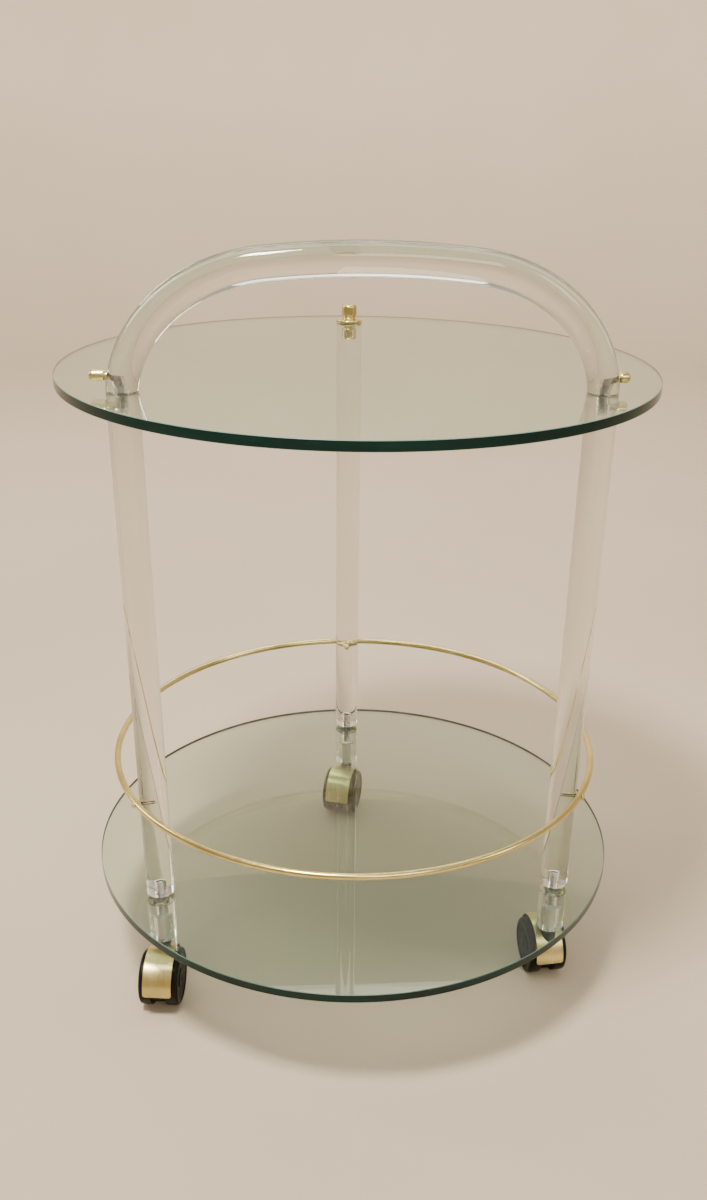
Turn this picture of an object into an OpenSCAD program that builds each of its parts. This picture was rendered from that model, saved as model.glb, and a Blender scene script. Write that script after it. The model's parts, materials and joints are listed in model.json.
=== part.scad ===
// Round two-tier serving cart: two clear glass shelves on three clear acrylic
// legs, a bent acrylic handle arch, a brass gallery ring and three hooded
// twin-wheel casters. Millimetres, +Z up. The origin is on the floor, on the
// axis of the round shelves. The handle side of the cart is -Y.

/* [Shelves] */
// Diameter of both glass shelves
glass_d = 500; // [440:5:560]
// Thickness of the top glass
top_glass_t = 8; // [5:0.5:10]
// Thickness of the lower glass
low_glass_t = 8; // [4:0.5:10]
// Height of the lower glass's upper face above the floor
low_shelf_h = 110; // [106:1:125]
// Height between the upper faces of the two glasses
shelf_spacing = 461; // [350:1:550]
// Chamfer ground along the glass edges
glass_arris = 0.6; // [0.4:0.1:1.5]
// Hole in the glass for a stud
glass_hole_d = 8; // [7:0.5:10]

/* [Acrylic rods] */
// Diameter of the legs, the posts and the handle
rod_d = 25; // [22:1:30]
// Radius of the circle on which the three legs stand
leg_circle_r = 211; // [180:1:215]
// Chamfer on the ends of the rods
rod_chamfer = 0.8; // [0.4:0.1:1.5]
// Length of the short posts under the lower glass
post_len = 41; // [38:0.5:46]

/* [Handle arch] */
// Bend radius at the two corners of the handle
corner_r = 124; // [110:1:135]
// Half of the angle that the nearly straight top of the handle turns through
top_half_angle = 7.2; // [6:0.1:10]
// Angle of each foot, measured from the top of the bend
foot_angle = 80.5; // [76:0.5:86]
// Forward lean of the whole handle
handle_lean = 22; // [0:1:26]

/* [Gallery ring] */
// Diameter of the brass ring's wire
ring_wire_d = 6; // [5:0.5:8]
// Height of the ring above the lower glass
ring_h = 101; // [70:1:140]
// Shank diameter of the screws that hold the ring
ring_screw_d = 3; // [2.5:0.5:4]

/* [Studs and knobs] */
// Diameter of the steel studs
stud_d = 6; // [5:0.5:7]
// Thickness of the clear washers above and below the lower glass
low_washer_t = 2.7; // [1:0.1:5]
// Depth of a stud in each rod
stud_depth = 14; // [10:1:18]
// Flange diameter of the rear brass knob
knob_flange_d = 26; // [20:1:30]
// Grip diameter of the rear brass knob
knob_d = 15; // [12:1:18]
// Height of the rear brass knob
knob_h = 17; // [15:0.5:20]
// Head diameter of the thumb screws in the handle feet
thumb_d = 8.5; // [7:0.5:10]
// Length of the left thumb screw's head outside the handle
thumb_len_left = 13.5; // [9:0.5:15]
// Length of the right thumb screw's head outside the handle
thumb_len_right = 9.5; // [9:0.5:15]

/* [Casters] */
// Diameter of the caster wheels
wheel_d = 50; // [46:1:52]
// Width over both wheels of a caster
caster_w = 36.4; // [34:0.2:40]
// Width of the brass hood
hood_w = 26.5; // [24:0.5:28]
// Outer radius of the brass hood
hood_r = 28.5; // [28.3:0.1:29]
// Angle that the hood covers to each side of its top
hood_half_angle = 91; // [78:1:100]
// Distance from the swivel axis back to the wheel axle
trail = 16; // [14:0.5:18]
// Diameter of the caster stems
stem_d = 7.6; // [7:0.1:8]
// Outer diameter of the nylon stem sockets
socket_d = 10.6; // [10:0.1:12]
// Length of the nylon stem sockets
socket_len = 24; // [20:1:28]
// Resting direction of the left caster, from the stem to the axle
heading_left = -96; // [-180:1:180]
// Resting direction of the right caster, from the stem to the axle
heading_right = 97; // [-180:1:180]
// Resting direction of the rear caster, from the stem to the axle
heading_rear = -107; // [-180:1:180]

/* [Hidden] */
$fn = 96;
eps = 0.01;
washer_t = 0.6;
washer_d = 16;
bore_clear = 0.3;
fit_clear = 0.05;
low_top_z = low_shelf_h;
low_under_z = low_top_z - low_glass_t;
top_top_z = low_shelf_h + shelf_spacing;
top_under_z = top_top_z - top_glass_t;
leg_z0 = low_top_z + low_washer_t;
leg_z1 = top_under_z - washer_t;
post_z1 = low_under_z - low_washer_t;
post_z0 = post_z1 - post_len;
foot_z = top_top_z + washer_t;
ring_z = low_top_z + ring_h;
ring_r = leg_circle_r + rod_d / 2 + ring_wire_d / 2 + 0.1;
ring_screw_depth = 13;
ring_screw_head_d = 5.6;
ring_screw_head_h = 2;
stud_chamfer = 0.7;
low_stud_down = 14;
thumb_z = foot_z + 10.5;
thumb_shank_d = 5;
thumb_neck_l = 2;
knob_flange_t = 3.6;
half_span = leg_circle_r * cos(30);
feet_y = -leg_circle_r * sin(30);
top_r = corner_r + (half_span - corner_r * sin(foot_angle)) / sin(top_half_angle);
arch_h = top_r - (top_r - corner_r) * cos(top_half_angle) - corner_r * cos(foot_angle);
foot_extra = 7;
top_rod_d = rod_d - 0.05;
lap_angle = 0.14;
axle_z = wheel_d / 2;
axle_d = 5;
hood_t = 1;
roof_t = 1.3;
roof_r = hood_r - hood_t - 0.05;
core_r = roof_r - roof_t;
web_w = 12;
wheel_gap = 0.4;
wheel_w = (caster_w - web_w) / 2 - wheel_gap;
wheel_edge_r = 2.5;
boss_d = 13;
boss_z1 = post_z0 - 1.2;
web_z0 = 13;
web_half_l = 20;
roof_z0 = 28.5;
roof_w = hood_w - 1.5;
stem_z0 = 33;
stem_z1 = post_z0 + socket_len - 2.5;
grip_z = stem_z1 - 3.2;
grip_wire = 0.9;
leg_angles = [210, 330, 90];

acrylic = [0.90, 0.92, 0.90, 0.45];
glass_green = [0.70, 0.85, 0.80, 0.5];
brass = [0.80, 0.66, 0.38];
satin_brass = [0.78, 0.71, 0.47];
steel = [0.62, 0.62, 0.63];
black_nylon = [0.11, 0.11, 0.11];
milky_nylon = [0.88, 0.87, 0.80];
clear_vinyl = [0.92, 0.93, 0.93, 0.5];

// ---------- shared shapes ----------

// Puts its children at a leg, with local +X pointing away from the cart's axis
module at_leg(angle) {
  rotate([0, 0, angle])
    translate([leg_circle_r, 0, 0])
      children();
}

// Solid of revolution between two heights, with chamfered ends
module chamfered_rod(d, z0, z1, c) {
  rotate_extrude()
    polygon([
      [0, z0], [d / 2 - c, z0], [d / 2, z0 + c],
      [d / 2, z1 - c], [d / 2 - c, z1], [0, z1]]);
}

// Round glass shelf with ground edges and the three stud holes
module glass_disc(z0, t) {
  difference() {
    chamfered_rod(glass_d, z0, z0 + t, glass_arris, $fn = 240);
    for (a = leg_angles)
      at_leg(a)
        translate([0, 0, z0 - 1])
          cylinder(d = glass_hole_d, h = t + 2);
  }
}

module stud_bore(z0, depth) {
  translate([0, 0, z0])
    cylinder(d = stud_d + 2 * bore_clear, h = depth);
}

// ---------- shelves ----------

module top_glass() {
  color(glass_green)
    glass_disc(top_under_z, top_glass_t);
}

module lower_glass() {
  color(glass_green)
    glass_disc(low_under_z, low_glass_t);
}

// ---------- acrylic rods ----------

module leg(angle) {
  color(acrylic)
    at_leg(angle)
      difference() {
        chamfered_rod(rod_d, leg_z0, leg_z1, rod_chamfer);
        stud_bore(leg_z0 - 1, stud_depth + 2);
        stud_bore(leg_z1 - stud_depth - 1, stud_depth + 2);
        translate([rod_d / 2 - ring_screw_depth - 1, 0, ring_z])
          rotate([0, 90, 0])
            cylinder(d = ring_screw_d + 2 * fit_clear, h = ring_screw_depth + 4);
      }
}

module post(angle) {
  color(acrylic)
    at_leg(angle)
      difference() {
        chamfered_rod(rod_d, post_z0, post_z1, rod_chamfer);
        stud_bore(post_z1 - low_stud_down, low_stud_down + 1);
        translate([0, 0, post_z0 - 1])
          cylinder(d = socket_d + 2 * fit_clear, h = socket_len + 1);
      }
}

// Stretch of round rod bent to radius r about [cx, cy] in the XY plane
module bent_rod(d, cx, cy, r, from, to) {
  translate([cx, cy, 0])
    rotate([0, 0, from])
      rotate_extrude(angle = to - from, $fn = r > 300 ? 360 : 120)
        translate([r, 0])
          circle(d = d, $fn = 64);
}

// One corner of the arch, drawn on the +X side, bent a little past the foot
module arch_side() {
  cx = (top_r - corner_r) * sin(top_half_angle);
  cy = arch_h - top_r + (top_r - corner_r) * cos(top_half_angle);
  bent_rod(rod_d, cx, cy, corner_r, 90 - foot_angle - foot_extra, 90 - top_half_angle);
}

module handle_arch() {
  color(acrylic)
    difference() {
      translate([0, feet_y, foot_z])
        rotate([90 + handle_lean, 0, 0])
          union() {
            bent_rod(top_rod_d, 0, arch_h - top_r, top_r,
              90 - top_half_angle - lap_angle, 90 + top_half_angle + lap_angle);
            arch_side();
            mirror([1, 0, 0])
              arch_side();
          }
      translate([-glass_d / 2, feet_y - 40, foot_z - 40])
        cube([glass_d, 80, 40]);
      for (side = [-1, 1])
        translate([side * half_span, feet_y, 0]) {
          stud_bore(foot_z - 1, stud_depth + 1);
          translate([0, 0, thumb_z])
            rotate([0, side * 90, 0])
              cylinder(d = thumb_shank_d + 2 * fit_clear, h = 30);
        }
    }
}

// ---------- gallery ring ----------

module gallery_ring() {
  color(brass)
    difference() {
      translate([0, 0, ring_z])
        rotate_extrude($fn = 240)
          translate([ring_r, 0])
            circle(d = ring_wire_d, $fn = 32);
      for (a = leg_angles)
        rotate([0, 0, a])
          translate([ring_r - ring_wire_d, 0, ring_z])
            rotate([0, 90, 0])
              cylinder(d = ring_screw_d + 2 * fit_clear, h = 2 * ring_wire_d);
    }
}

// Round-head screw that passes through the ring into the leg
module ring_screw(angle) {
  shank_l = ring_screw_depth + ring_wire_d + 0.1;
  color(brass)
    at_leg(angle)
      translate([rod_d / 2 - ring_screw_depth, 0, ring_z])
        rotate([0, 90, 0])
          rotate_extrude($fn = 48)
            polygon([
              [0, 0], [ring_screw_d / 2 - 0.4, 0], [ring_screw_d / 2, 0.4],
              [ring_screw_d / 2, shank_l], [ring_screw_head_d / 2, shank_l],
              [ring_screw_head_d / 2, shank_l + 0.6],
              [ring_screw_head_d / 2 - 0.7, shank_l + 1.5],
              [ring_screw_head_d / 2 - 1.7, shank_l + ring_screw_head_h],
              [0, shank_l + ring_screw_head_h]]);
}

// ---------- studs, washers, knobs ----------

module stud(angle, z0, z1) {
  color(steel)
    at_leg(angle)
      chamfered_rod(stud_d, z0, z1, stud_chamfer);
}

module top_stud(angle) {
  stud(angle, leg_z1 - stud_depth + 0.4, foot_z + stud_depth - 0.6);
}

module lower_stud(angle) {
  stud(angle, post_z1 - low_stud_down + 0.5, leg_z0 + stud_depth - 0.4);
}

// Clear washers between rod ends and glass, one above and one below the glass
module washer_set(z_low, z_high, t) {
  color(clear_vinyl)
    for (a = leg_angles, z = [z_low, z_high])
      if (!(a == 90 && z == foot_z - washer_t))
        at_leg(a)
          translate([0, 0, z + fit_clear / 2])
            difference() {
              cylinder(d = washer_d, h = t - fit_clear);
              translate([0, 0, -1])
                cylinder(d = stud_d + 2 * bore_clear, h = t + 2);
            }
}

module top_washers() {
  washer_set(leg_z1, foot_z - washer_t, washer_t);
}

module lower_washers() {
  washer_set(post_z1, leg_z0 - low_washer_t, low_washer_t);
}

// Flanged brass cap nut on top of the rear stud
module rear_knob() {
  fr = knob_flange_d / 2;
  kr = knob_d / 2;
  z0 = top_top_z + 0.05;
  color(brass)
    at_leg(90)
      difference() {
        translate([0, 0, z0])
          rotate_extrude()
            difference() {
              union() {
                polygon([
                  [0, 0], [fr - 0.8, 0], [fr, 0.8], [fr, knob_flange_t - 1.6],
                  [fr - 1.6, knob_flange_t], [kr - 1.2, knob_flange_t + 0.6],
                  [kr - 1.2, knob_flange_t + 2.2], [kr, knob_flange_t + 3.2],
                  [kr, knob_h - 3], [0, knob_h - 3]]);
                translate([0, knob_h - 3 - eps])
                  square([kr - 3, 3 + eps]);
                translate([kr - 3, knob_h - 3])
                  circle(r = 3, $fn = 48);
              }
              translate([-knob_d, -1])
                square([knob_d, knob_h + 2]);
            }
        translate([0, 0, z0 - 1])
          cylinder(d = stud_d + 2 * fit_clear, h = stud_depth + 1);
      }
}

// Brass thumb screw that clamps a stud in a handle foot, side is -1 or 1
module thumb_screw(side, head_l) {
  skin = half_span + 10.6;
  tip = half_span + stud_d / 2 + 0.1;
  hr = thumb_d / 2;
  dome = 3;
  shank = skin - tip;
  color(brass)
    translate([side * tip, feet_y, thumb_z])
      rotate([0, side * 90, 0])
        rotate_extrude($fn = 48)
          difference() {
            union() {
              polygon([
                [0, 0], [thumb_shank_d / 2 - 0.5, 0], [thumb_shank_d / 2, 0.5],
                [thumb_shank_d / 2, shank + thumb_neck_l],
                [hr, shank + thumb_neck_l + 0.5],
                [hr, shank + head_l - dome], [0, shank + head_l - dome]]);
              translate([0, shank + head_l - dome - eps])
                square([hr - dome, dome + eps]);
              translate([hr - dome, shank + head_l - dome])
                circle(r = dome, $fn = 48);
            }
            translate([-thumb_d, -1])
              square([thumb_d, shank + head_l + 2]);
          }
}

// ---------- casters ----------

// Places a caster part: local +X points from the stem to the axle
module at_caster(angle, heading) {
  at_leg(angle)
    rotate([0, 0, heading - angle])
      children();
}

// Puts its children on the axle line, with their local Z along the axle
module on_axle() {
  translate([trail, 0, axle_z])
    rotate([90, 0, 0])
      children();
}

module stem_socket(angle) {
  color(milky_nylon)
    at_leg(angle)
      difference() {
        translate([0, 0, post_z0 - 0.9])
          union() {
            cylinder(d = socket_d, h = socket_len + 0.8);
            cylinder(d = socket_d + 4, h = 0.8);
          }
        translate([0, 0, post_z0 - 2])
          cylinder(d = stem_d + 2 * fit_clear, h = socket_len);
        translate([0, 0, grip_z - 0.8])
          cylinder(d = stem_d + 1.2, h = 2.6);
      }
}

module stem(angle) {
  color(steel)
    at_leg(angle)
      difference() {
        chamfered_rod(stem_d, stem_z0, stem_z1, 0.8);
        translate([0, 0, grip_z])
          rotate_extrude()
            translate([stem_d / 2 - 0.6, 0])
              square([1, 1.2]);
      }
}

// Open spring ring in the groove near the top of the stem
module grip_ring(angle) {
  color(steel)
    at_leg(angle)
      translate([0, 0, grip_z + 0.6])
        rotate([0, 0, 20])
          rotate_extrude(angle = 320, $fn = 60)
            translate([stem_d / 2 - 0.05, 0])
              circle(d = grip_wire, $fn = 20);
}

// Flat arc in the XY plane about the origin, symmetric about +Y
module arc_band(r_in, r_out, half_angle, w) {
  rotate([0, 0, 90 - half_angle])
    rotate_extrude(angle = 2 * half_angle, $fn = 120)
      translate([r_in, -w / 2])
        square([r_out - r_in, w]);
}

// Nylon body: a web between the wheels, a roof over them and a boss for the stem
module caster_body(angle, heading) {
  color(black_nylon)
    at_caster(angle, heading)
      difference() {
        union() {
          on_axle()
            cylinder(r = roof_r, h = roof_w, center = true);
          translate([0, 0, stem_z0])
            cylinder(d = boss_d, h = boss_z1 - stem_z0);
        }
        for (side = [-1, 1])
          on_axle()
            translate([0, 0, side * (web_w + hood_w) / 2])
              cylinder(r = core_r, h = hood_w, center = true);
        translate([trail - hood_r - 1, -hood_w, -hood_r])
          cube([2 * hood_r + 2, 2 * hood_w, web_z0 + hood_r]);
        for (side = [-1, 1])
          translate([trail + side * (web_half_l + 10) - 10, -hood_w, 0])
            cube([20, 2 * hood_w, roof_z0]);
        translate([0, 0, stem_z0])
          cylinder(d = stem_d, h = 60);
        on_axle()
          cylinder(d = axle_d, h = web_w + 2, center = true);
      }
}

module hood(angle, heading) {
  color(satin_brass)
    at_caster(angle, heading)
      difference() {
        on_axle()
          arc_band(hood_r - hood_t, hood_r, hood_half_angle, hood_w);
        translate([0, 0, axle_z])
          cylinder(d = boss_d + 0.6, h = 60);
      }
}

module axle(angle, heading) {
  color(steel)
    at_caster(angle, heading)
      on_axle()
        translate([0, 0, -caster_w / 2 + 2.6])
          chamfered_rod(axle_d, 0, caster_w - 5.2, 0.5);
}

// Nylon wheel with a rounded tread and a dished outer face, side is -1 or 1
module wheel(angle, heading, side) {
  r = wheel_d / 2;
  e = wheel_edge_r;
  w = wheel_w;
  color(black_nylon)
    at_caster(angle, heading)
      on_axle()
        mirror([0, 0, side > 0 ? 0 : 1])
          translate([0, 0, caster_w / 2 - w])
            rotate_extrude(angle = 360, $fn = 144)
              difference() {
                union() {
                  polygon([
                    [axle_d / 2 + fit_clear, 0], [r - 1, 0], [r, 1],
                    [r, w - e], [r - e, w - e], [r - e, w],
                    [r - 4.2, w], [r - 5.2, w - 0.9], [9, w - 1.4],
                    [7.8, w - 0.5], [0, w - 0.5], [0, w - 1.9],
                    [axle_d / 2 + fit_clear, w - 1.9]]);
                  translate([r - e, w - e])
                    circle(r = e, $fn = 48);
                }
                translate([13, -eps])
                  square([7.5, w - 5]);
              }
}

// ---------- the nodes ----------

top_glass();
lower_glass();
handle_arch();
leg(210);  // leg_left
leg(330);  // leg_right
leg(90);  // leg_rear
post(210);  // post_left
post(330);  // post_right
post(90);  // post_rear
gallery_ring();
ring_screw(210);  // ring_screw_left
ring_screw(330);  // ring_screw_right
ring_screw(90);  // ring_screw_rear
top_stud(210);  // top_stud_left
top_stud(330);  // top_stud_right
top_stud(90);  // top_stud_rear
lower_stud(210);  // lower_stud_left
lower_stud(330);  // lower_stud_right
lower_stud(90);  // lower_stud_rear
top_washers();
lower_washers();
rear_knob();
thumb_screw(-1, thumb_len_left);  // thumb_screw_left
thumb_screw(1, thumb_len_right);  // thumb_screw_right
stem_socket(210);  // socket_left
stem(210);  // stem_left
grip_ring(210);  // grip_ring_left
caster_body(210, heading_left);  // caster_body_left
hood(210, heading_left);  // hood_left
axle(210, heading_left);  // axle_left
wheel(210, heading_left, -1);  // wheel_left_a
wheel(210, heading_left, 1);  // wheel_left_b
stem_socket(330);  // socket_right
stem(330);  // stem_right
grip_ring(330);  // grip_ring_right
caster_body(330, heading_right);  // caster_body_right
hood(330, heading_right);  // hood_right
axle(330, heading_right);  // axle_right
wheel(330, heading_right, -1);  // wheel_right_a
wheel(330, heading_right, 1);  // wheel_right_b
stem_socket(90);  // socket_rear
stem(90);  // stem_rear
grip_ring(90);  // grip_ring_rear
caster_body(90, heading_rear);  // caster_body_rear
hood(90, heading_rear);  // hood_rear
axle(90, heading_rear);  // axle_rear
wheel(90, heading_rear, -1);  // wheel_rear_a
wheel(90, heading_rear, 1);  // wheel_rear_b
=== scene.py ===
"""Looks of the round acrylic and glass bar cart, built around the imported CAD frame. Metres."""
import json
import math

import bmesh
import bpy
from mathutils import Matrix, Vector

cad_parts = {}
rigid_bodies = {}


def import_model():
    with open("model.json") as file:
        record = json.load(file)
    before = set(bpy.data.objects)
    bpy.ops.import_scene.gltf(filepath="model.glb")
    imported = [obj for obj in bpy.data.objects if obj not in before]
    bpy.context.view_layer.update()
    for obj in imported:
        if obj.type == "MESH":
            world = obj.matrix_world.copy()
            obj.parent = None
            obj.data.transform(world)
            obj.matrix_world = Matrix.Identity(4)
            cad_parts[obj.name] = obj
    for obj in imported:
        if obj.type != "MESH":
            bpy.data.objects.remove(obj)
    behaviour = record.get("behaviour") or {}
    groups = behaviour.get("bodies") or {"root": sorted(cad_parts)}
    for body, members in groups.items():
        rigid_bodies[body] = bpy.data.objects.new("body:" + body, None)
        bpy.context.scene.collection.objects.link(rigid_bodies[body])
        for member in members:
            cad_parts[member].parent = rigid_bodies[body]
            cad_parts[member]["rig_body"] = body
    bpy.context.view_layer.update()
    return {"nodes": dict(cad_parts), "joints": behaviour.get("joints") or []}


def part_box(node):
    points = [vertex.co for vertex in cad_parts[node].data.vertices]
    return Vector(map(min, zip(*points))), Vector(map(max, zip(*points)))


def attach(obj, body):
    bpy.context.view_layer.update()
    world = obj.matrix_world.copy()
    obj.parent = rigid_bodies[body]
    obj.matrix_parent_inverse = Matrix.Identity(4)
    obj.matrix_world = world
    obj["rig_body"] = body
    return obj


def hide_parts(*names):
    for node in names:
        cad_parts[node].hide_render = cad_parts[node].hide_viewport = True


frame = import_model()

MM = 0.001
SIDES = ("left", "right", "rear")
JOINTS = {joint["name"]: joint for joint in frame["joints"]}

# ---------- camera ----------

CAMERA_PLACE = (-0.0487, -0.9823, 0.764)
CAMERA_YAW = -3.937
CAMERA_PITCH = 25.447
CAMERA_ROLL = 1.085
CAMERA_LENS = 34.62
CAMERA_SHIFT = (-0.0187, 0.0491)


def make_camera():
    """Camera at head height in front of the cart, a little rolled and shifted."""
    yaw = math.radians(CAMERA_YAW)
    pitch = math.radians(CAMERA_PITCH)
    roll = math.radians(CAMERA_ROLL)
    heading = Vector((-math.sin(yaw), math.cos(yaw), 0))
    forward = heading * math.cos(pitch) - Vector((0, 0, math.sin(pitch)))
    level = Vector((math.cos(yaw), math.sin(yaw), 0))
    upright = level.cross(forward)
    right = level * math.cos(roll) + upright * math.sin(roll)
    up = upright * math.cos(roll) - level * math.sin(roll)
    data = bpy.data.cameras.new("camera")
    data.lens = CAMERA_LENS
    data.sensor_width = 36
    data.shift_x, data.shift_y = CAMERA_SHIFT
    data.clip_start = 0.01
    camera = bpy.data.objects.new("camera", data)
    turn = Matrix((right, up, -forward)).transposed().to_4x4()
    camera.matrix_world = Matrix.Translation(CAMERA_PLACE) @ turn
    bpy.context.scene.collection.objects.link(camera)
    bpy.context.scene.camera = camera


# ---------- node helpers ----------


def new_material(name):
    """A new material with its node tree and its Principled shader."""
    material = bpy.data.materials.new(name)
    material.use_nodes = True
    tree = material.node_tree
    return material, tree, tree.nodes["Principled BSDF"]


def noise(tree, scale, detail=3.0, stretch=(1, 1, 1), space="Object"):
    """Noise over the object's own coordinates, in metres, squeezed by stretch."""
    coordinates = tree.nodes.new("ShaderNodeTexCoord")
    mapping = tree.nodes.new("ShaderNodeMapping")
    mapping.inputs["Scale"].default_value = stretch
    texture = tree.nodes.new("ShaderNodeTexNoise")
    texture.inputs["Scale"].default_value = scale
    texture.inputs["Detail"].default_value = detail
    tree.links.new(coordinates.outputs[space], mapping.inputs["Vector"])
    tree.links.new(mapping.outputs["Vector"], texture.inputs["Vector"])
    return texture.outputs["Fac"]


def spread(tree, value, low, high, from_low=0.35, from_high=0.65):
    """Maps a noise value to the range from low to high."""
    node = tree.nodes.new("ShaderNodeMapRange")
    node.inputs["From Min"].default_value = from_low
    node.inputs["From Max"].default_value = from_high
    node.inputs["To Min"].default_value = low
    node.inputs["To Max"].default_value = high
    tree.links.new(value, node.inputs["Value"])
    return node.outputs["Result"]


def tint(tree, value, dark, light, from_low=0.35, from_high=0.65):
    """Runs from the dark to the light colour as value rises."""
    node = tree.nodes.new("ShaderNodeValToRGB")
    node.color_ramp.elements[0].position = from_low
    node.color_ramp.elements[0].color = (*dark, 1)
    node.color_ramp.elements[1].position = from_high
    node.color_ramp.elements[1].color = (*light, 1)
    tree.links.new(value, node.inputs["Fac"])
    return node.outputs["Color"]


def bump(tree, height, strength, distance, under=None):
    """Bump of the given depth in metres, on top of an earlier bump."""
    node = tree.nodes.new("ShaderNodeBump")
    node.inputs["Strength"].default_value = strength
    node.inputs["Distance"].default_value = distance
    tree.links.new(height, node.inputs["Height"])
    if under is not None:
        tree.links.new(under, node.inputs["Normal"])
    return node.outputs["Normal"]


def absorb(tree, colour, density):
    """Colour that light takes up on its way through the solid."""
    volume = tree.nodes.new("ShaderNodeVolumeAbsorption")
    volume.inputs["Color"].default_value = (*colour, 1)
    volume.inputs["Density"].default_value = density
    tree.links.new(volume.outputs["Volume"], tree.nodes["Material Output"].inputs["Volume"])


# ---------- materials ----------

GLASS_IOR = 1.52
ACRYLIC_IOR = 1.49
VINYL_IOR = 1.5


def shelf_glass():
    """Float glass: clear through its thickness, grey-green in bulk, with faint wiping smears."""
    material, tree, shader = new_material("shelf_glass_finish")
    smears = noise(tree, 14, 5, (1.0, 0.35, 1.0))
    waves = noise(tree, 5, 1)
    shader.inputs["Transmission Weight"].default_value = 1
    shader.inputs["IOR"].default_value = GLASS_IOR
    tree.links.new(tint(tree, waves, (0.97, 0.99, 0.98), (1, 1, 1)), shader.inputs["Base Color"])
    tree.links.new(spread(tree, smears, 0.0, 0.03, 0.5, 0.75), shader.inputs["Roughness"])
    tree.links.new(bump(tree, waves, 0.12, 0.0006), shader.inputs["Normal"])
    absorb(tree, (0.0, 0.43, 0.13), 28.0)
    return material


def glass_edge():
    """Polished edge, deep green from the whole width of the sheet, with fine grinding lines."""
    material, tree, shader = new_material("glass_edge_finish")
    clouds = noise(tree, 9, 3, (1, 1, 6))
    lines = noise(tree, 60, 3, (1, 1, 40))
    shader.inputs["IOR"].default_value = GLASS_IOR
    shader.inputs["Specular IOR Level"].default_value = 0.22
    depth = tint(tree, clouds, (0.001, 0.010, 0.008), (0.002, 0.023, 0.019))
    tree.links.new(depth, shader.inputs["Base Color"])
    tree.links.new(spread(tree, lines, 0.10, 0.22), shader.inputs["Roughness"])
    tree.links.new(bump(tree, lines, 0.3, 0.00002), shader.inputs["Normal"])
    return material


def glass_arris_highlight():
    """Painted highlight along the edge's two rims: a thin pale green line, on a slightly rough, gritty
    surface.
    """
    material, tree, shader = new_material("glass_arris_painted_highlight")
    grit = noise(tree, 1200, 3)
    clouds = noise(tree, 14, 2)
    shader.inputs["IOR"].default_value = GLASS_IOR
    # pale green base colour: a painted highlight along both rims, not the glass's own colour
    tree.links.new(tint(tree, clouds, (0.05, 0.12, 0.10), (0.12, 0.22, 0.18)), shader.inputs["Base Color"])
    tree.links.new(spread(tree, grit, 0.25, 0.45), shader.inputs["Roughness"])
    tree.links.new(bump(tree, grit, 0.4, 0.00003), shader.inputs["Normal"])
    return material


def clear_acrylic():
    """Clear cast acrylic rod with slight waves from bending and hairline polishing marks."""
    material, tree, shader = new_material("clear_acrylic_finish")
    waves = noise(tree, 16, 2)
    marks = noise(tree, 900, 2, (1.0, 1.0, 0.05))
    shader.inputs["Transmission Weight"].default_value = 1
    shader.inputs["IOR"].default_value = ACRYLIC_IOR
    tree.links.new(tint(tree, waves, (0.975, 0.975, 0.965), (1, 1, 1)), shader.inputs["Base Color"])
    tree.links.new(spread(tree, waves, 0.0, 0.025, 0.5, 0.7), shader.inputs["Roughness"])
    rough = bump(tree, marks, 0.08, 0.00002)
    tree.links.new(bump(tree, waves, 0.25, 0.0006, rough), shader.inputs["Normal"])
    absorb(tree, (0.56, 0.53, 0.38), 12.0)
    return material


def brass(name, dark, light, smooth, rough, grain, stretch, depth, space):
    """Brass with tarnish patches and fine lines of the given grain, stretch and depth."""
    material, tree, shader = new_material(name)
    patches = noise(tree, 24, 3)
    lines = noise(tree, grain, 3, stretch, space)
    shader.inputs["Metallic"].default_value = 1
    tree.links.new(tint(tree, patches, dark, light), shader.inputs["Base Color"])
    tree.links.new(spread(tree, lines, smooth, rough, 0.3, 0.7), shader.inputs["Roughness"])
    tree.links.new(bump(tree, lines, 0.5, depth), shader.inputs["Normal"])
    return material


def polished_brass():
    """Light polished brass with fine wiping marks and slight tarnish in patches."""
    return brass("polished_brass_finish", (0.60, 0.51, 0.20), (0.82, 0.71, 0.33),
                 0.16, 0.28, 700, (1, 1, 1), 0.000015, "Object")


def satin_brass():
    """Champagne brass band, brushed along its length."""
    return brass("satin_brass_finish", (0.57, 0.50, 0.20), (0.78, 0.70, 0.33),
                 0.24, 0.38, 120, (0.5, 60, 1), 0.00003, "UV")


def steel():
    """Zinc-plated steel with a faintly mottled plating."""
    material, tree, shader = new_material("steel_finish")
    patches = noise(tree, 160, 4)
    shader.inputs["Metallic"].default_value = 1
    tree.links.new(tint(tree, patches, (0.42, 0.42, 0.42), (0.62, 0.62, 0.60)), shader.inputs["Base Color"])
    tree.links.new(spread(tree, patches, 0.22, 0.38), shader.inputs["Roughness"])
    tree.links.new(bump(tree, noise(tree, 2500, 2), 0.3, 0.00002), shader.inputs["Normal"])
    return material


def black_nylon():
    """Moulded black nylon with fine grain and dusty, lightly scuffed spots."""
    material, tree, shader = new_material("black_nylon_finish")
    scuffs = noise(tree, 90, 6)
    grain = noise(tree, 3000, 2)
    tree.links.new(tint(tree, scuffs, (0.003, 0.003, 0.003), (0.010, 0.009, 0.008), 0.4, 0.75),
                   shader.inputs["Base Color"])
    shader.inputs["Specular IOR Level"].default_value = 0.14
    tree.links.new(spread(tree, scuffs, 0.34, 0.50), shader.inputs["Roughness"])
    tree.links.new(bump(tree, grain, 0.35, 0.00003), shader.inputs["Normal"])
    return material


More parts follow.
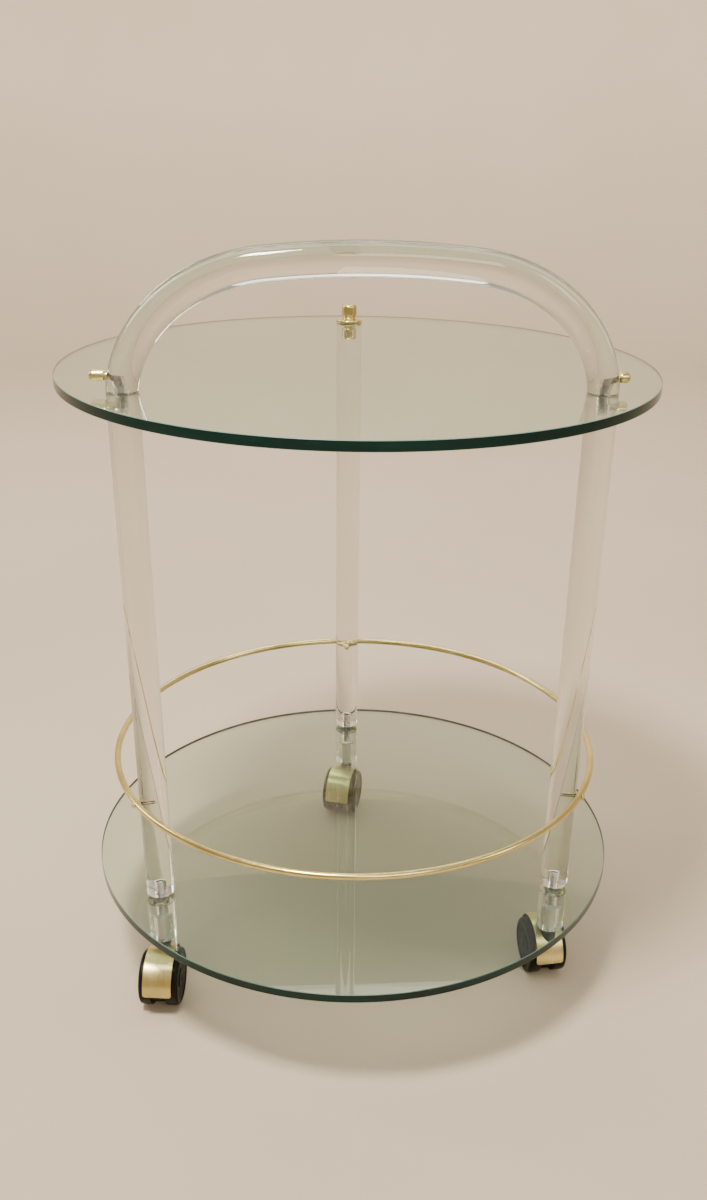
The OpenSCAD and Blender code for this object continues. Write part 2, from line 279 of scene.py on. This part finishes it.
def milky_nylon():
    """Natural nylon: waxy, off-white, letting a little light in."""
    material, tree, shader = new_material("milky_nylon_finish")
    clouds = noise(tree, 200, 3)
    shader.inputs["Subsurface Weight"].default_value = 0.35
    shader.inputs["Subsurface Scale"].default_value = 0.002
    tree.links.new(tint(tree, clouds, (0.86, 0.85, 0.77), (0.93, 0.92, 0.86)), shader.inputs["Base Color"])
    tree.links.new(spread(tree, clouds, 0.32, 0.5), shader.inputs["Roughness"])
    tree.links.new(bump(tree, noise(tree, 1500, 2), 0.3, 0.00003), shader.inputs["Normal"])
    return material


def clear_vinyl():
    """Soft vinyl washer, hazy enough to look whitish on edge."""
    material, tree, shader = new_material("clear_vinyl_finish")
    haze = noise(tree, 300, 3)
    shader.inputs["Transmission Weight"].default_value = 0.6
    shader.inputs["IOR"].default_value = VINYL_IOR
    tree.links.new(tint(tree, haze, (0.90, 0.90, 0.87), (0.96, 0.96, 0.94)), shader.inputs["Base Color"])
    tree.links.new(spread(tree, haze, 0.18, 0.30), shader.inputs["Roughness"])
    return material


FINISHES = {
    "shelf_glass": shelf_glass(),
    "clear_acrylic": clear_acrylic(),
    "polished_brass": polished_brass(),
    "satin_brass": satin_brass(),
    "steel": steel(),
    "black_nylon": black_nylon(),
    "milky_nylon": milky_nylon(),
    "clear_vinyl": clear_vinyl(),
}
GLASS_EDGE = glass_edge()
GLASS_ARRIS_HIGHLIGHT = glass_arris_highlight()
SLOTS = {name: node.data.materials[0].name for name, node in frame["nodes"].items()}

for name, node in frame["nodes"].items():
    node.data.materials[0] = FINISHES[SLOTS[name]]

# ---------- mesh helpers ----------

SHARP = math.radians(35)


def crease(bm):
    """Shades every face smooth and keeps the edges sharper than SHARP."""
    for face in bm.faces:
        face.smooth = True
    for edge in bm.edges:
        edge.smooth = len(edge.link_faces) == 2 and edge.calc_face_angle() < SHARP


def mesh_object(name, bm):
    """Object of a finished mesh, shaded to follow its large faces."""
    bmesh.ops.recalc_face_normals(bm, faces=bm.faces)
    crease(bm)
    mesh = bpy.data.meshes.new(name)
    bm.to_mesh(mesh)
    bm.free()
    piece = bpy.data.objects.new(name, mesh)
    bpy.context.scene.collection.objects.link(piece)
    shading = piece.modifiers.new("shading", "WEIGHTED_NORMAL")
    shading.keep_sharp = True
    return piece


def cut(piece, cutters):
    """Takes the cutters out of piece and shades it again."""
    for index, bm in enumerate(cutters):
        tool = mesh_object(f"{piece.name}_tool_{index}", bm)
        step = piece.modifiers.new("cut", "BOOLEAN")
        step.operation = "DIFFERENCE"
        step.solver = "EXACT"
        step.object = tool
    depsgraph = bpy.context.evaluated_depsgraph_get()
    result = bpy.data.meshes.new_from_object(piece.evaluated_get(depsgraph))
    for step in list(piece.modifiers):
        if step.type == "BOOLEAN":
            tool = step.object
            piece.modifiers.remove(step)
            bpy.data.objects.remove(tool)
    bm = bmesh.new()
    bm.from_mesh(result)
    bmesh.ops.remove_doubles(bm, verts=bm.verts, dist=1e-7)
    crease(bm)
    bm.to_mesh(piece.data)
    bm.free()
    bpy.data.meshes.remove(result)
    return piece


def show(piece, node):
    """Shows piece in place of a CAD node, on its body and with its finish."""
    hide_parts(node)
    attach(piece, frame["nodes"][node]["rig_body"])
    piece.data.materials.clear()
    piece.data.materials.append(FINISHES[SLOTS[node]])
    return piece


def rounded(points, closed=False, steps=6):
    """Profile whose corners (radius, height, fillet) are rounded to their fillets."""
    out = []
    last = len(points) - 1
    for i, (r, z, fillet) in enumerate(points):
        if fillet == 0 or (not closed and i in (0, last)):
            out.append((r, z))
            continue
        here = Vector((r, z))
        before = (Vector(points[i - 1][:2]) - here).normalized()
        after = (Vector(points[(i + 1) % len(points)][:2]) - here).normalized()
        half = before.angle(after) / 2
        turn = math.pi - 2 * half
        centre = here + (before + after).normalized() * fillet / math.sin(half)
        first = here + before * fillet / math.tan(half) - centre
        final = here + after * fillet / math.tan(half) - centre
        for k in range(steps + 1):
            a = turn * k / steps
            offset = (first * math.sin(turn - a) + final * math.sin(a)) / math.sin(turn)
            out.append(tuple(centre + offset))
    return out


def lathe(profile, segments=96, place=Matrix(), closed=False, bm=None):
    """Solid of revolution about place's Z axis. The profile runs from axis to axis, or is a closed loop."""
    bm = bm or bmesh.new()
    rings = []
    for r, z in profile:
        count = 1 if r < 1e-9 else segments
        angles = [2 * math.pi * i / segments for i in range(count)]
        rings.append([bm.verts.new(place @ Vector((r * math.cos(a), r * math.sin(a), z))) for a in angles])
    pairs = list(zip(rings, rings[1:]))
    if closed:
        pairs.append((rings[-1], rings[0]))
    for low, high in pairs:
        for i in range(segments):
            j = (i + 1) % segments
            corners = [low[i % len(low)], low[j % len(low)], high[j % len(high)], high[i % len(high)]]
            corners = list(dict.fromkeys(corners))
            if len(corners) > 2:
                bm.faces.new(corners)
    return bm


def cylinder(radius, z0, z1, place, segments=48):
    """Closed cylinder about place's Z axis."""
    return lathe([(0, z0), (radius, z0), (radius, z1), (0, z1)], segments, place)


def axis_place(point, direction):
    """Matrix with its origin at point and its Z axis along direction."""
    turn = Vector((0, 0, 1)).rotation_difference(Vector(direction)).to_matrix().to_4x4()
    return Matrix.Translation(point) @ turn


def middle(node):
    """Centre of a CAD node's box."""
    low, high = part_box(node)
    return (low + high) / 2


# ---------- driving sizes, from the frame where it has them ----------

GLASS_R = min(abs(c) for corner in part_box("top_glass") for c in corner[:2])
ROD_R = 12.5 * MM
BORE_R = 3.3 * MM
STUD_R = 2.98 * MM
SOCKET_BORE_R = 5.35 * MM
END_FILLET = 0.8 * MM
MOUTH_FILLET = 0.3 * MM
RING_SCREW_REACH = 13 * MM
LEG_SPOTS = {side: Vector((*middle(f"top_stud_{side}")[:2], 0)) for side in SIDES}
RING_Z = middle("gallery_ring").z
FOOT_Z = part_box("handle_arch")[0].z


# ---------- shelves ----------


def glass_disc(node):
    """Round glass with softened polished edges and three stud holes."""
    low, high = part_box(node)
    arris = 0.6 * MM
    hole_r = 4 * MM
    hole_arris = 0.4 * MM
    upright_limit = 0.3
    bm = bmesh.new()
    edges = []

    def wall(centre, radius, bevel, inwards, segments):
        """Upright wall with rounded rims. Its first and last rings are kept to fill the faces."""
        sign = -1 if inwards else 1
        profile = rounded([(radius - sign * 2 * bevel, low.z, 0), (radius, low.z, bevel),
                           (radius, high.z, bevel), (radius - sign * 2 * bevel, high.z, 0)])
        start = len(bm.verts)
        lathe(profile[1:-1], segments, Matrix.Translation(centre), bm=bm)
        bm.verts.ensure_lookup_table()
        bm.edges.index_update()
        rims = [set(bm.verts[start:start + segments]), set(bm.verts[len(bm.verts) - segments:])]
        for index, rim in enumerate(rims):
            for edge in bm.edges:
                if edge.verts[0] in rim and edge.verts[1] in rim:
                    edges.append((index, edge))

    wall((0, 0, 0), GLASS_R, arris, False, 384)
    for spot in LEG_SPOTS.values():
        wall(spot, hole_r, hole_arris, True, 48)
    for index in (0, 1):
        bmesh.ops.triangle_fill(bm, edges=[e for i, e in edges if i == index], use_beauty=True)
    piece = show(mesh_object(node + "_disc", bm), node)
    piece.data.materials.append(GLASS_EDGE)
    piece.data.materials.append(GLASS_ARRIS_HIGHLIGHT)
    # faces on the rounded rims get the painted-highlight material (slot 2); the upright edge gets slot 1
    for face in piece.data.polygons:
        if math.hypot(face.center.x, face.center.y) > GLASS_R - arris:
            upright = abs(face.normal.z) < upright_limit
            face.material_index = 1 if upright else 2
    return piece


# ---------- acrylic rods ----------


def leg(side):
    """Leg with rounded ends, a drilled bore at each end and a cross bore for the ring's screw."""
    node = f"leg_{side}"
    low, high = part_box(node)
    stud_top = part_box(f"lower_stud_{side}")[1].z
    stud_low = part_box(f"top_stud_{side}")[0].z
    drill = 2.0 * MM
    gap = 0.4 * MM
    cross_r = 1.62 * MM
    cross_floor = RING_SCREW_REACH + 0.2 * MM
    cross_length = 20 * MM
    profile = rounded([
        (0, stud_top + gap + drill, 0), (BORE_R, stud_top + gap, 0), (BORE_R, low.z, MOUTH_FILLET),
        (ROD_R, low.z, END_FILLET), (ROD_R, high.z, END_FILLET), (BORE_R, high.z, MOUTH_FILLET),
        (BORE_R, stud_low - gap, 0), (0, stud_low - gap - drill, 0)], steps=4)
    spot = LEG_SPOTS[side]
    piece = mesh_object(node + "_rod", lathe(profile, 128, Matrix.Translation(spot)))
    screw_low = spot.normalized() * (spot.length + ROD_R - cross_floor)
    place = axis_place((screw_low.x, screw_low.y, RING_Z), spot)
    cut(piece, [cylinder(cross_r, 0, cross_length, place, 32)])
    return show(piece, node)


def post(side):
    """Short post, bored for the stud above and, wider, for the caster socket below."""
    node = f"post_{side}"
    low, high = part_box(node)
    socket_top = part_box(f"socket_{side}")[1].z + 0.1 * MM
    stud_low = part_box(f"lower_stud_{side}")[0].z - 0.4 * MM
    profile = rounded([
        (0, stud_low, 0), (BORE_R, stud_low, 0), (BORE_R, high.z, MOUTH_FILLET),
        (ROD_R, high.z, END_FILLET), (ROD_R, low.z, END_FILLET),
        (SOCKET_BORE_R, low.z, MOUTH_FILLET), (SOCKET_BORE_R, socket_top, 0), (0, socket_top, 0)], steps=4)
    bm = lathe(profile, 128, Matrix.Translation(LEG_SPOTS[side]))
    return show(mesh_object(node + "_rod", bm), node)


CORNER_R = 124 * MM
TOP_HALF_ANGLE = 7.2
FOOT_ANGLE = 80.5
FOOT_EXTRA = 7.0
HANDLE_LEAN = 22.0
THUMB_Z = FOOT_Z + 10.5 * MM
ARCH_R = 12.43 * MM


def arch_line():
    """Centreline of the handle in its own leaning plane, as (point, outward direction) pairs."""
    half_span = LEG_SPOTS["right"].x
    top = math.radians(TOP_HALF_ANGLE)
    foot = math.radians(FOOT_ANGLE)
    end = math.radians(FOOT_ANGLE + FOOT_EXTRA)
    top_r = CORNER_R + (half_span - CORNER_R * math.sin(foot)) / math.sin(top)
    height = top_r - (top_r - CORNER_R) * math.cos(top) - CORNER_R * math.cos(foot)
    corner_x = (top_r - CORNER_R) * math.sin(top)
    corner_y = height - top_r + (top_r - CORNER_R) * math.cos(top)
    side_steps = 70
    top_steps = 60
    line = []
    for k in range(side_steps):
        a = end + (top - end) * k / side_steps
        out = Vector((math.sin(a), math.cos(a)))
        line.append((Vector((corner_x, corner_y)) + out * CORNER_R, out))
    for k in range(top_steps + 1):
        a = top - 2 * top * k / top_steps
        out = Vector((math.sin(a), math.cos(a)))
        line.append((Vector((0, height - top_r)) + out * top_r, out))
    for point, out in reversed(line[:side_steps]):
        line.append((Vector((-point.x, point.y)), Vector((-out.x, out.y))))
    return line


def handle_arch():
    """Bent rod, cut level at its feet, bored for the studs and for the thumb screws."""
    lean = math.radians(HANDLE_LEAN)
    along = Vector((0, -math.sin(lean), math.cos(lean)))
    across = Vector((0, math.cos(lean), math.sin(lean)))
    foot = Vector((0, LEG_SPOTS["right"].y, FOOT_Z))
    screw_bore_r = 2.6 * MM
    bore_overrun = 5 * MM
    bore_length = 30 * MM
    round_steps = 96
    bm = bmesh.new()
    rings = []
    for point, out in arch_line():
        centre = foot + Vector((point.x, 0, 0)) + along * point.y
        outward = Vector((out.x, 0, 0)) + along * out.y
        ring = []
        for k in range(round_steps):
            a = 2 * math.pi * k / round_steps
            spoke = outward * math.cos(a) + across * math.sin(a)
            ring.append(bm.verts.new(centre + spoke * ARCH_R))
        rings.append(ring)
    for low, high in zip(rings, rings[1:]):
        for k in range(round_steps):
            n = (k + 1) % round_steps
            bm.faces.new((low[k], low[n], high[n], high[k]))
    everything = bm.verts[:] + bm.edges[:] + bm.faces[:]
    bmesh.ops.bisect_plane(bm, geom=everything, plane_co=foot, plane_no=(0, 0, -1),
                           clear_outer=True)
    bmesh.ops.holes_fill(bm, edges=[e for e in bm.edges if e.is_boundary])
    piece = mesh_object("handle_arch_rod", bm)
    cutters = []
    for side in ("left", "right"):
        spot = LEG_SPOTS[side]
        outward = Vector((math.copysign(1, spot.x), 0, 0))
        stud_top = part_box(f"top_stud_{side}")[1].z + 0.5 * MM
        cutters.append(cylinder(BORE_R, FOOT_Z - bore_overrun, stud_top, Matrix.Translation(spot)))
        screw_place = axis_place((spot.x, spot.y, THUMB_Z), outward)
        cutters.append(cylinder(screw_bore_r, 0, bore_length, screw_place))
    cut(piece, cutters)
    return show(piece, "handle_arch")


# ---------- brass ----------


def gallery_ring():
    """Round brass wire bent to a closed ring."""
    low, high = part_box("gallery_ring")
    wire_r = (high.z - low.z) / 2
    ring_r = min(high.x, high.y, -low.x, -low.y) - wire_r
    steps = 40
    profile = []
    for k in range(steps):
        a = 2 * math.pi * k / steps
        profile.append((ring_r + wire_r * math.cos(a), RING_Z + wire_r * math.sin(a)))
    bm = lathe(profile, 480, closed=True)
    return show(mesh_object("gallery_ring_wire", bm), "gallery_ring")


def slot_box(place, width, length, z0, z1):
    """Box cutter for a screwdriver slot."""
    bm = bmesh.new()
    bmesh.ops.create_cube(bm, size=1)
    fit = Matrix.Translation((0, 0, (z0 + z1) / 2)) @ Matrix.Diagonal((width, length, z1 - z0, 1))
    bmesh.ops.transform(bm, matrix=place @ fit, verts=bm.verts)
    return bm


def ring_screw(side):
    """Slotted round-head screw through the ring into the leg."""
    node = f"ring_screw_{side}"
    spot = LEG_SPOTS[side]
    inner = spot.length + ROD_R - RING_SCREW_REACH
    shank = 19.1 * MM
    head_r = 2.78 * MM
    shank_r = 1.48 * MM
    crown_r = 1.1 * MM
    brim = shank + 0.9 * MM
    crown = shank + 1.95 * MM
    top = shank + 1.98 * MM
    slot_floor = shank + 1.1 * MM
    slot_width = 0.7 * MM
    slot_length = 8 * MM
    slot_top = shank + 4 * MM
    profile = rounded([
        (0, 0, 0), (shank_r, 0, 0.4 * MM), (shank_r, shank, 0), (head_r, shank, 0.25 * MM),
        (head_r, brim, 0.7 * MM), (crown_r, crown, 0.8 * MM), (0, top, 0)])
    centre = spot.normalized() * inner
    place = axis_place((centre.x, centre.y, RING_Z), spot)
    piece = mesh_object(node + "_turned", lathe(profile, 48, place))
    cut(piece, [slot_box(place, slot_width, slot_length, slot_floor, slot_top)])
    return show(piece, node)


def rear_knob():
    """Flanged cap nut with a short neck and a softly rounded cap."""
    low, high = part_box("rear_knob")
    z = low.z
    top = high.z
    bore_r = 3.1 * MM
    flange_r = 12.97 * MM
    neck_r = 6.3 * MM
    cap_r = 7.48 * MM
    flange_top = z + 2.4 * MM
    neck_low = z + 3.9 * MM
    neck_high = z + 5.8 * MM
    cap_low = z + 6.8 * MM
    profile = rounded([
        (bore_r, z, 0), (flange_r, z, 0.6 * MM), (flange_r, flange_top, 1.1 * MM),
        (neck_r, neck_low, 0.7 * MM), (neck_r, neck_high, 0.5 * MM), (cap_r, cap_low, 0.5 * MM),
        (cap_r, top, 2.8 * MM), (0, top, 0)])
    place = Matrix.Translation(LEG_SPOTS["rear"])
    bore_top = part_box("top_stud_rear")[1].z + 0.3 * MM
    profile = [(0, bore_top), (bore_r, bore_top)] + profile
    return show(mesh_object("rear_knob_turned", lathe(profile, 96, place)), "rear_knob")


def thumb_screw(side):
    """Smooth brass thumb screw: its head tapers towards the rod and has a rounded end."""
    node = f"thumb_screw_{side}"
    low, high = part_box(node)
    sign = math.copysign(1, LEG_SPOTS[side].x)
    tip = low.x if sign > 0 else high.x
    length = high.x - low.x
    head_r = (high.z - low.z) / 2
    shank_r = 2.48 * MM
    back_z = 8.3 * MM
    back_r = 3.5 * MM
    shoulder_z = 9.9 * MM
    profile = rounded([
        (0, 0, 0), (shank_r, 0, 0.5 * MM), (shank_r, back_z, 0.2 * MM),
        (back_r, back_z + 0.1 * MM, 0.3 * MM), (head_r, shoulder_z, 0.6 * MM),
        (head_r, length, 3.6 * MM), (0, length, 0)])
    place = axis_place((tip, LEG_SPOTS[side].y, (low.z + high.z) / 2), (sign, 0, 0))
    return show(mesh_object(node + "_turned", lathe(profile, 64, place)), node)


# ---------- studs ----------


def threaded_stud(node, side):
    """Steel stud with a true screw thread and chamfered ends."""
    low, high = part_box(node)
    pitch = 1.0 * MM
    depth = 0.5 * MM
    end_chamfer = 0.8 * MM
    round_steps = 36
    rows_per_turn = 8
    rows = int((high.z - low.z) / pitch * rows_per_turn)
    spot = LEG_SPOTS[side]
    bm = bmesh.new()
    rings = []
    for row in range(rows + 1):
        z = low.z + (high.z - low.z) * row / rows
        inside = min(z - low.z, high.z - z)
        limit = STUD_R - max(0.0, end_chamfer - inside)
        ring = []
        for k in range(round_steps):
            a = 2 * math.pi * k / round_steps
            phase = ((z - low.z) / pitch - k / round_steps) % 1
            r = min(limit, STUD_R - depth * abs(2 * phase - 1) ** 1.5)
            ring.append(bm.verts.new((spot.x + r * math.cos(a), spot.y + r * math.sin(a), z)))
        rings.append(ring)
    for under, over in zip(rings, rings[1:]):
        for k in range(round_steps):
            n = (k + 1) % round_steps
            bm.faces.new((under[k], under[n], over[n], over[k]))
    bm.faces.new(rings[0])
    bm.faces.new(rings[-1])
    return show(mesh_object(node + "_threaded", bm), node)


# ---------- washers, sockets and stems ----------


def washers(node, spots):
    """Hazy washers with soft rims, above and below one glass."""
    skin = 0.02 * MM
    softness = 0.3
    bm = bmesh.new()
    for spot in spots:
        near = []
        for vert in frame["nodes"][node].data.vertices:
            distance = (Vector((vert.co.x, vert.co.y, 0)) - spot).length
            if distance < ROD_R:
                near.append((vert.co.z, distance))
        heights = [z for z, _ in near]
        centre = (min(heights) + max(heights)) / 2
        washer_r = max(distance for _, distance in near)
        for part in ([z for z in heights if z < centre], [z for z in heights if z > centre]):
            if part and max(part) - min(part) > skin:
                z0, z1 = min(part) + skin, max(part) - skin
                soft = softness * (z1 - z0)
                profile = rounded([(BORE_R, z0, 0), (washer_r, z0, soft), (washer_r, z1, soft),
                                   (BORE_R, z1, 0)], closed=True, steps=5)
                lathe(profile, 64, Matrix.Translation(spot), closed=True, bm=bm)
    return show(mesh_object(node + "_moulded", bm), node)


def stem_socket(side):
    """Nylon socket pressed into the post, with a thin collar under the post and a soft top rim."""
    node = f"socket_{side}"
    low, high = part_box(node)
    outer = 5.3 * MM
    collar_r = 7.3 * MM
    bore_r = 3.85 * MM
    collar_top = low.z + 0.8 * MM
    ceiling = high.z - 2.9 * MM
    profile = rounded([
        (bore_r, low.z, MOUTH_FILLET), (collar_r, low.z, 0.2 * MM), (collar_r, collar_top, 0.2 * MM),
        (outer, collar_top, 0.15 * MM), (outer, high.z, 0.7 * MM), (0, high.z, 0),
        (0, ceiling, 0), (bore_r, ceiling, 0.3 * MM)], closed=True, steps=4)
    bm = lathe(profile, 64, Matrix.Translation(LEG_SPOTS[side]), closed=True)
    return show(mesh_object(node + "_moulded", bm), node)


# ---------- casters ----------


def caster_axes(side):
    """Axle centre, unit vector from stem to axle, and unit vector along the axle."""
    centre = middle(f"axle_{side}")
    stem = LEG_SPOTS[side]
    back = Vector((centre.x - stem.x, centre.y - stem.y, 0)).normalized()
    along = Vector(JOINTS[f"roll_{side}_a"]["axis"]).normalized()
    return centre, back, along


def hood(side):
    """Thin brass band over the wheels, with rounded corners, soft edges and the hole for the boss."""
    node = f"hood_{side}"
    centre, back, along = caster_axes(side)
    outer = 28.5 * MM
    inner = 27.5 * MM
    half_width = 13.22 * MM
    half_angle = math.radians(91)
    corner = 2.2 * MM
    edge = 0.4 * MM
    hole_r = 6.8 * MM
    hole_length = 60 * MM
    half_length = outer * half_angle
    straight = half_length - corner
    columns = 120
    ease = 14
    stops = [straight * k / columns for k in range(columns)]
    stops += [straight + corner * math.sin(math.pi / 2 * k / ease) for k in range(ease + 1)]
    stops = [-s for s in reversed(stops[1:])] + stops
    bm = bmesh.new()
    rings = []
    for s in stops:
        past = max(0.0, abs(s) - straight)
        width = half_width - corner + math.sqrt(max(0.0, corner ** 2 - past ** 2))
        section = rounded([(-width, inner, edge), (-width, outer, edge), (width, outer, edge),
                           (width, inner, edge)], closed=True, steps=4)
        a = s / outer
        out = back * math.sin(a) + Vector((0, 0, math.cos(a)))
        rings.append([bm.verts.new(centre + along * w + out * r) for w, r in section])
    for first, second in zip(rings, rings[1:]):
        for k in range(len(first)):
            n = (k + 1) % len(first)
            bm.faces.new((first[k], first[n], second[n], second[k]))
    bm.faces.new(rings[0])
    bm.faces.new(rings[-1])
    piece = mesh_object(node + "_band", bm)
    hole_place = Matrix.Translation(LEG_SPOTS[side])
    cut(piece, [cylinder(hole_r, centre.z, centre.z + hole_length, hole_place, 64)])
    lay_band_uv(piece, centre, back, along, outer)
    return show(piece, node)


def lay_band_uv(piece, centre, back, along, radius):
    """UVs in metres: along the band, then across it."""
    layer = piece.data.uv_layers.new(name="band")
    for loop in piece.data.loops:
        d = piece.data.vertices[loop.vertex_index].co - centre
        layer.data[loop.index].uv = (math.atan2(d.dot(back), d.z) * radius, d.dot(along))


def wheel(side, letter):
    """Nylon wheel: crowned tread, dished outer face with a hub, and a hollow inner side."""
    node = f"wheel_{side}_{letter}"
    centre, _, along = caster_axes(side)
    outwards = along if (middle(node) - centre).dot(along) > 0 else -along
    offsets = [abs((Vector(v.co) - centre).dot(along)) for v in frame["nodes"][node].data.vertices]
    inside = min(offsets)
    w = max(offsets) - inside
    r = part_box(node)[1].z - centre.z
    bore_r = 2.55 * MM
    boss_r, boss_root_r = 12.9 * MM, 13.2 * MM
    rim_r, rim_root_r = 20.6 * MM, 20.4 * MM
    web_z = w - 5 * MM
    tread_end_r, dish_r = r - 4.0 * MM, r - 4.9 * MM
    hub_root_r, hub_r = 9.4 * MM, 8.2 * MM
    dimple_r, dimple_floor_r = 3.2 * MM, 2.9 * MM
    dish_z, hub_root_z, hub_z = w - 0.9 * MM, w - 1.5 * MM, w - 0.5 * MM
    dimple_z, bore_end_z = w - 1.0 * MM, w - 1.9 * MM
    profile = rounded([
        (bore_r, 0, 0), (boss_r, 0, 0.3 * MM), (boss_root_r, web_z, 0.8 * MM),
        (rim_root_r, web_z, 0.8 * MM), (rim_r, 0, 0.3 * MM), (r, 0, 1.0 * MM),
        (r, w, 2.6 * MM), (tread_end_r, w, 0.5 * MM), (dish_r, dish_z, 0.6 * MM),
        (hub_root_r, hub_root_z, 0.8 * MM), (hub_r, hub_z, 0.5 * MM), (dimple_r, hub_z, 0.3 * MM),
        (dimple_floor_r, dimple_z, 0.2 * MM), (0, dimple_z, 0), (0, bore_end_z, 0),
        (bore_r, bore_end_z, 0)], closed=True, steps=5)
    place = axis_place(centre + outwards * inside, outwards)
    return show(mesh_object(node + "_moulded", lathe(profile, 128, place, closed=True)), node)


# ---------- stage ----------

LAMP = (1.0, 0.92, 0.80)
PANEL = (1.0, 0.94, 0.84)
BOUNCE = (1.0, 0.93, 0.82)


def backdrop():
    """Matt paint, a little darker on the floor than up the wall."""
    wall_z = 0.9
    material, tree, shader = new_material("backdrop_finish")
    split = tree.nodes.new("ShaderNodeSeparateXYZ")
    coordinates = tree.nodes.new("ShaderNodeTexCoord")
    mix = tree.nodes.new("ShaderNodeMix")
    mix.data_type = "RGBA"
    tree.links.new(coordinates.outputs["Object"], split.inputs["Vector"])
    tree.links.new(spread(tree, split.outputs["Z"], 0, 1, 0.0, wall_z), mix.inputs["Factor"])
    low_paint = tint(tree, noise(tree, 2, 3), (0.49, 0.41, 0.315), (0.51, 0.43, 0.335))
    high_paint = tint(tree, noise(tree, 3, 3), (0.66, 0.56, 0.44), (0.68, 0.58, 0.46))
    tree.links.new(low_paint, mix.inputs["A"])
    tree.links.new(high_paint, mix.inputs["B"])
    tree.links.new(mix.outputs["Result"], shader.inputs["Base Color"])
    shader.inputs["Roughness"].default_value = 0.7
    shader.inputs["Specular IOR Level"].default_value = 0.2
    return material


def stage():
    """Pale floor that rises in a smooth round cove, so that every side has a plain background."""
    flat_r = 3.0
    cove_r = 1.2
    wall_top = 3.2
    steps = 24
    profile = [(0, 0), (flat_r / 2, 0)]
    for k in range(steps + 1):
        a = math.pi / 2 * k / steps
        profile.append((flat_r + cove_r * math.sin(a), cove_r * (1 - math.cos(a))))
    profile.append((flat_r + cove_r, wall_top))
    bm = lathe(profile, 128)
    for face in bm.faces:
        face.smooth = True
    mesh = bpy.data.meshes.new("floor")
    bm.to_mesh(mesh)
    bm.free()
    floor = bpy.data.objects.new("floor", mesh)
    bpy.context.scene.collection.objects.link(floor)
    floor.data.materials.append(backdrop())


def soft_box(name, place, target, size, power, colour):
    """Rectangular light at place, facing target."""
    data = bpy.data.lights.new(name, "AREA")
    data.shape = "RECTANGLE"
    data.size, data.size_y = size
    data.energy = power
    data.color = colour
    light = bpy.data.objects.new(name, data)
    light.location = place
    light.rotation_mode = "QUATERNION"
    light.rotation_quaternion = (Vector(target) - Vector(place)).to_track_quat("-Z", "Y")
    bpy.context.scene.collection.objects.link(light)


def surroundings():
    """Even warm light from all round."""
    world = bpy.data.worlds.new("studio")
    world.use_nodes = True
    background = world.node_tree.nodes["Background"]
    background.inputs["Color"].default_value = (*BOUNCE, 1)
    background.inputs["Strength"].default_value = 0.55
    bpy.context.scene.world = world


make_camera()
stage()
surroundings()
soft_box("key", (-0.5, -0.7, 2.3), (0, 0, 0.3), (0.4, 0.4), 85, LAMP)
soft_box("front", (0.7, -2.6, 2.2), (0, 0, 0.4), (1.6, 0.8), 30, PANEL)
soft_box("fill", (2.2, -1.0, 1.6), (0, 0, 0.4), (0.5, 1.2), 12, BOUNCE)
soft_box("side", (-2.4, 0.9, 1.8), (0, 0, 0.4), (0.3, 1.6), 24, BOUNCE)
soft_box("top", (0, 2.0, 2.6), (0, 0, 0.4), (2.0, 0.8), 14, PANEL)
soft_box("wash", (0, 1.2, 3.0), (0, 4.2, 0.9), (2.4, 0.6), 130, BOUNCE)

for shelf in ("top_glass", "lower_glass"):
    glass_disc(shelf)
handle_arch()
gallery_ring()
rear_knob()
for side in SIDES:
    leg(side)
    post(side)
    stem_socket(side)
    ring_screw(side)
    threaded_stud(f"top_stud_{side}", side)
    threaded_stud(f"lower_stud_{side}", side)
    hood(side)
    for letter in "ab":
        wheel(side, letter)
for side in ("left", "right"):
    thumb_screw(side)
washers("top_washers", LEG_SPOTS.values())
washers("lower_washers", LEG_SPOTS.values())
